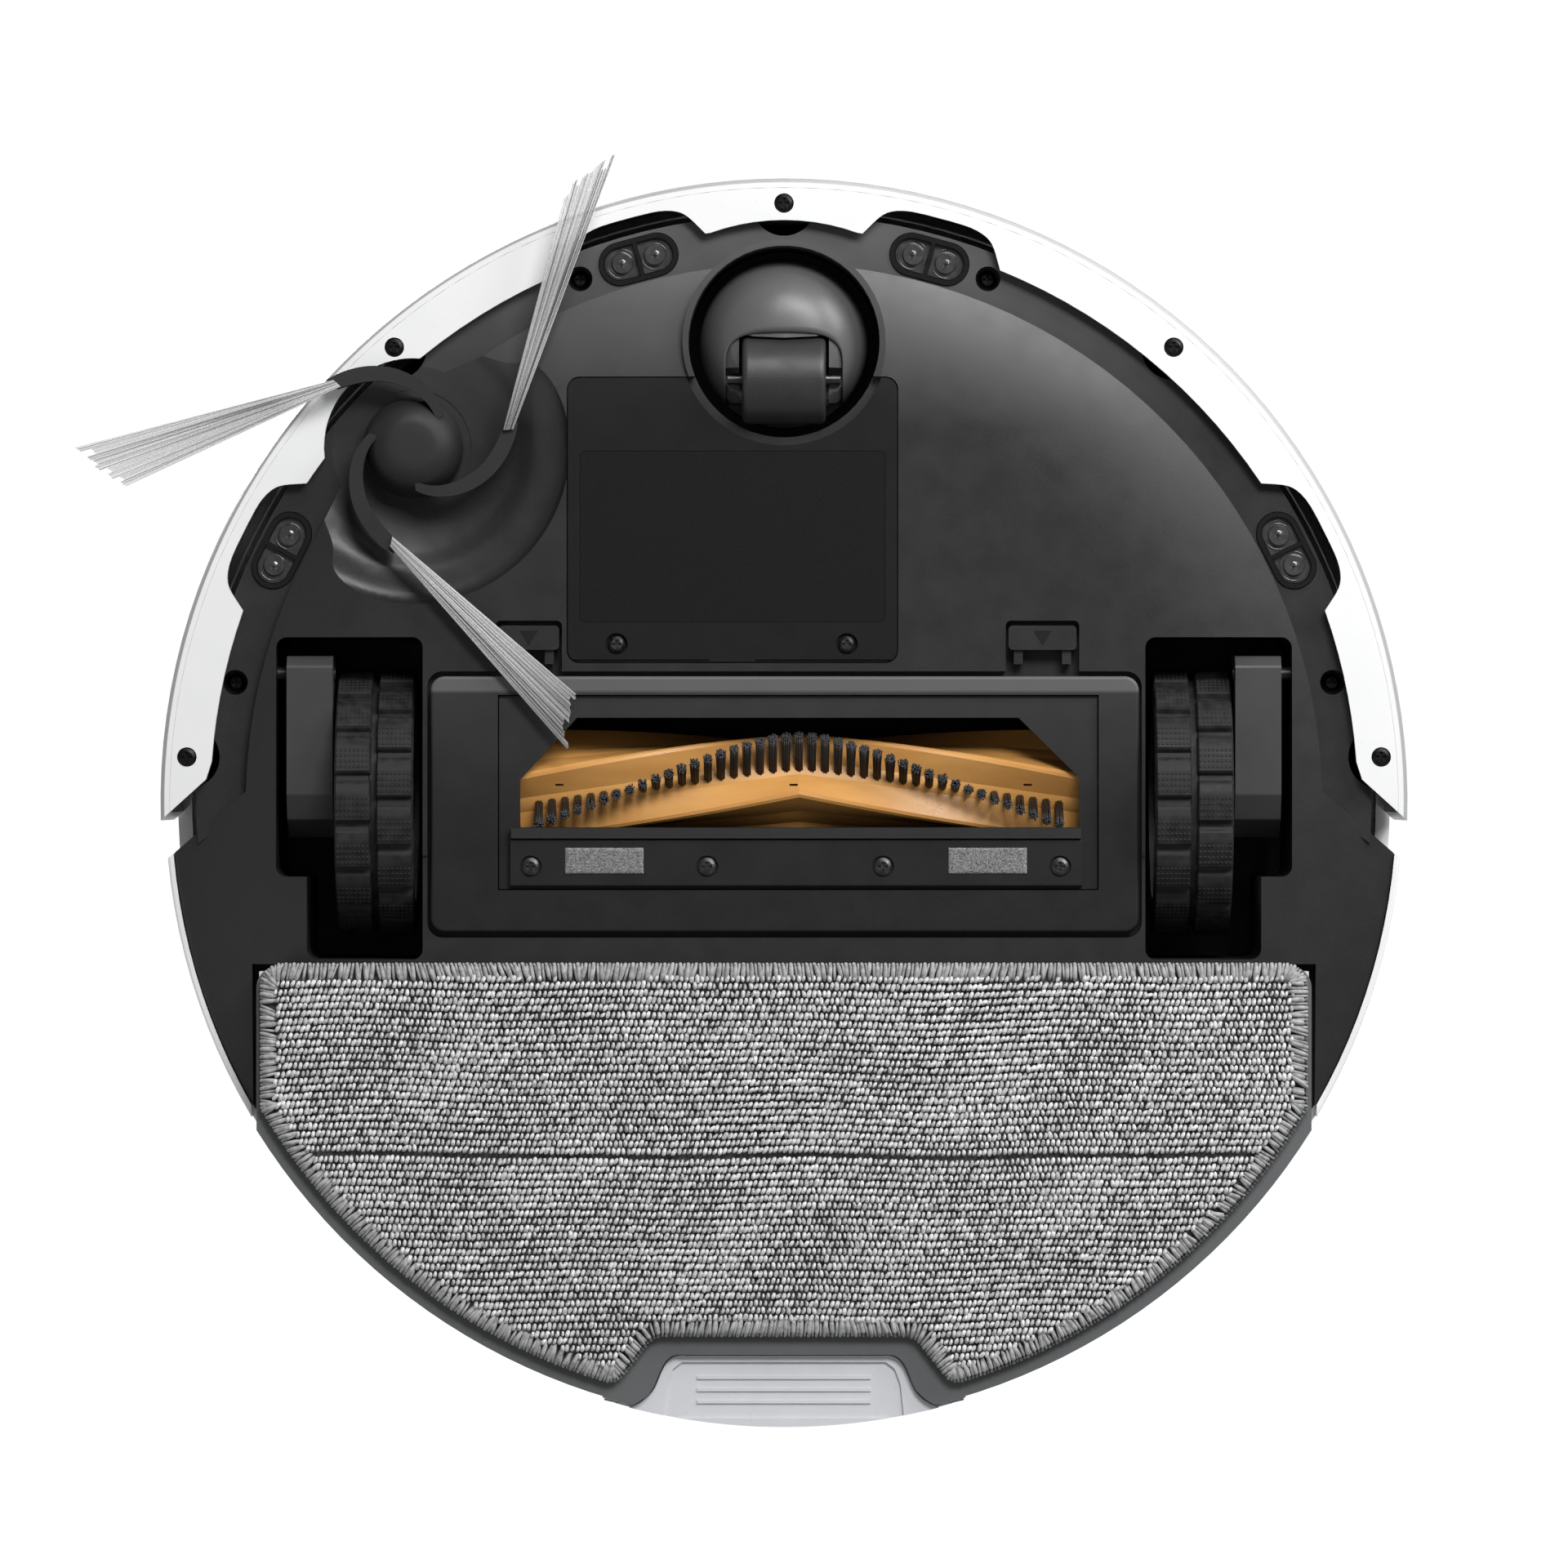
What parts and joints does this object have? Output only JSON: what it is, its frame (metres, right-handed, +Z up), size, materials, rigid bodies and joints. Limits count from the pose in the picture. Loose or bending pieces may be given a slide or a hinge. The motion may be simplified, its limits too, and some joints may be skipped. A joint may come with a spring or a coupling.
{
  "type": "robot vacuum cleaner",
  "caption": "Round robot vacuum and mop with spring-hung drive wheels, caster, side brush, V-pattern main brush, press bumper, slide-out mop tank, dust box and lidar turret.",
  "frame": {"origin": "on the floor midway between the two drive wheels, which is the turning centre and the centre of the round body", "axes": "+Z up; -Y forwards, towards the bumper; +Y to the rear, towards the mop; +X to the robot's left, so the side brush is on the -X side"},
  "size_m": [0.374, 0.3581, 0.0965],
  "materials": {
    "white_shell": "satin",
    "underside_black": "fine matte texture",
    "gloss_black": "polished",
    "smoked_lens": "polished",
    "screw_steel": "satin",
    "screw_black": "blackened",
    "contact_metal": "satin",
    "blank_label": "matte film",
    "battery_wrap": "shrink film",
    "caster_black": "satin",
    "caster_rubber": "worn",
    "arm_rubber": "matte",
    "clear_bristle": "translucent nylon",
    "motor_case": "matte",
    "grey_felt": "speckled felt",
    "amber_roller": "satin elastomer",
    "black_bristle": "nylon",
    "board_grey": "matte",
    "mop_terry": "looped terry",
    "tank_clear": "frosted translucent",
    "tank_smoke": "translucent",
    "filter_paper": "pleated",
    "button_grey": "satin",
    "board_green": "solder mask",
    "arm_case": "matte",
    "tyre": "moulded tread"
  },
  "bodies": {
    "chassis": {"chassis_base": "underside_black", "mid_frame": "underside_black", "rear_shell": "white_shell", "rear_beam": "underside_black", "charging_contacts": "contact_metal", "brush_chamber": "underside_black", "suction_duct": "underside_black", "battery_cover": "underside_black", "rating_label": "blank_label", "battery_screws": "screw_steel", "battery_pack": "battery_wrap", "shelf_screws": "screw_black", "cliff_sensor_cases": "gloss_black", "cliff_sensor_lenses": "smoked_lens", "side_brush_motor": "motor_case", "brush_drive": "motor_case", "top_cover": "white_shell", "lidar_base": "gloss_black", "main_board": "board_green", "fan_housing": "motor_case"},
    "bumper": {"bumper_shell": "white_shell", "bumper_flange": "white_shell", "bumper_screws": "screw_black", "infrared_window": "gloss_black"},
    "caster_swivel": {"caster_fork": "caster_black", "caster_axle": "screw_steel"},
    "caster_roller": {"caster_wheel": "caster_rubber"},
    "side_brush": {"side_brush_hub": "arm_rubber", "side_brush_bristles": "clear_bristle"},
    "brush_cover": {"brush_cover_frame": "underside_black", "brush_guard": "underside_black", "scraper_bar": "underside_black", "scraper_lip": "arm_rubber", "felt_pads": "grey_felt", "scraper_screws": "screw_steel"},
    "right_latch": {"cover_latch_right": "underside_black"},
    "left_latch": {"cover_latch_left": "underside_black"},
    "main_brush": {"brush_core": "amber_roller", "brush_spindle": "screw_steel", "brush_bristles": "black_bristle"},
    "mop_module": {"mop_board": "board_grey", "mop_cloth": "mop_terry", "water_tank": "tank_clear"},
    "tank_release": {"release_tab": "tank_clear"},
    "dust_bin": {"dust_box": "tank_smoke", "dust_box_lid": "tank_smoke", "dust_box_panel": "white_shell", "dust_filter": "filter_paper"},
    "bin_release": {"dust_box_button": "button_grey"},
    "power_key": {"power_button": "button_grey"},
    "home_key": {"home_button": "button_grey"},
    "lidar_head": {"lidar_rotor": "underside_black"},
    "lidar_lid": {"lidar_cap": "white_shell"},
    "fan_wheel": {"fan_impeller": "button_grey"},
    "left_arm": {"left_wheel_arm": "arm_case"},
    "right_arm": {"right_wheel_arm": "arm_case"},
    "left_wheel": {"left_wheel_hub": "button_grey", "left_wheel_tyre": "tyre"},
    "right_wheel": {"right_wheel_hub": "button_grey", "right_wheel_tyre": "tyre"}
  },
  "joints": [
    {"name": "bumper_press", "type": "slide", "parent": "chassis", "child": "bumper", "axis": [0, 1, 0], "range_m": [0, 0.004], "stiffness_N_per_m": 500, "springref_m": -0.003},
    {"name": "caster_turn", "type": "hinge", "parent": "chassis", "child": "caster_swivel", "pos_m": [0, -0.129, 0.036], "axis": [0, 0, 1], "continuous": true},
    {"name": "caster_roll", "type": "hinge", "parent": "caster_swivel", "child": "caster_roller", "pos_m": [0, -0.1185, 0.0125], "axis": [1, 0, 0], "continuous": true},
    {"name": "side_brush_spin", "type": "hinge", "parent": "chassis", "child": "side_brush", "pos_m": [-0.1041, -0.0995, 0.012], "axis": [0, 0, 1], "continuous": true, "deforming": ["side_brush_bristles"]},
    {"name": "brush_cover_pull", "type": "slide", "parent": "chassis", "child": "brush_cover", "axis": [0, 0, -1], "range_m": [0, 0.04]},
    {"name": "right_latch_slide", "type": "slide", "parent": "chassis", "child": "right_latch", "axis": [0, 1, 0], "range_m": [0, 0.002], "stiffness_N_per_m": 600, "springref_m": -0.001},
    {"name": "left_latch_slide", "type": "slide", "parent": "chassis", "child": "left_latch", "axis": [0, 1, 0], "range_m": [0, 0.002], "stiffness_N_per_m": 600, "springref_m": -0.001},
    {"name": "main_brush_spin", "type": "hinge", "parent": "chassis", "child": "main_brush", "pos_m": [0.00425, -0.0039, 0.027], "axis": [1, 0, 0], "continuous": true, "deforming": ["brush_bristles"]},
    {"name": "mop_module_slide", "type": "slide", "parent": "chassis", "child": "mop_module", "axis": [0, 1, 0], "range_m": [0, 0.14]},
    {"name": "tank_release_press", "type": "slide", "parent": "mop_module", "child": "tank_release", "axis": [0, 0, 1], "range_m": [0, 0.0025], "stiffness_N_per_m": 900, "springref_m": -0.0012},
    {"name": "dust_bin_slide", "type": "slide", "parent": "chassis", "child": "dust_bin", "axis": [0, 1, 0], "range_m": [0, 0.14]},
    {"name": "bin_release_press", "type": "slide", "parent": "dust_bin", "child": "bin_release", "axis": [0, -1, 0], "range_m": [0, 0.0025], "stiffness_N_per_m": 900, "springref_m": -0.0012},
    {"name": "power_key_press", "type": "slide", "parent": "chassis", "child": "power_key", "axis": [0, 0, -1], "range_m": [0, 0.0008], "stiffness_N_per_m": 1500, "springref_m": -0.0006},
    {"name": "home_key_press", "type": "slide", "parent": "chassis", "child": "home_key", "axis": [0, 0, -1], "range_m": [0, 0.0008], "stiffness_N_per_m": 1500, "springref_m": -0.0006},
    {"name": "lidar_head_spin", "type": "hinge", "parent": "chassis", "child": "lidar_head", "pos_m": [0, 0.03, 0.085], "axis": [0, 0, 1], "continuous": true},
    {"name": "lidar_lid_press", "type": "slide", "parent": "chassis", "child": "lidar_lid", "axis": [0, 0, -1], "range_m": [0, 0.0012], "stiffness_N_per_m": 1200, "springref_m": -0.0012},
    {"name": "fan_spin", "type": "hinge", "parent": "chassis", "child": "fan_wheel", "pos_m": [0.062, 0.008, 0.06], "axis": [0, 0, 1], "continuous": true},
    {"name": "left_arm_drop", "type": "hinge", "parent": "chassis", "child": "left_arm", "pos_m": [0.133, -0.036, 0.022], "axis": [-1, 0, 0], "range_deg": [0, 20], "stiffness_Nm_per_rad": 0.15, "springref_deg": 57.3},
    {"name": "left_wheel_spin", "type": "hinge", "parent": "left_arm", "child": "left_wheel", "pos_m": [0.1148, 0, 0.0375], "axis": [1, 0, 0], "continuous": true},
    {"name": "right_arm_drop", "type": "hinge", "parent": "chassis", "child": "right_arm", "pos_m": [-0.133, -0.036, 0.022], "axis": [-1, 0, 0], "range_deg": [0, 20], "stiffness_Nm_per_rad": 0.15, "springref_deg": 57.3},
    {"name": "right_wheel_spin", "type": "hinge", "parent": "right_arm", "child": "right_wheel", "pos_m": [-0.1148, 0, 0.0375], "axis": [1, 0, 0], "continuous": true}
  ]
}
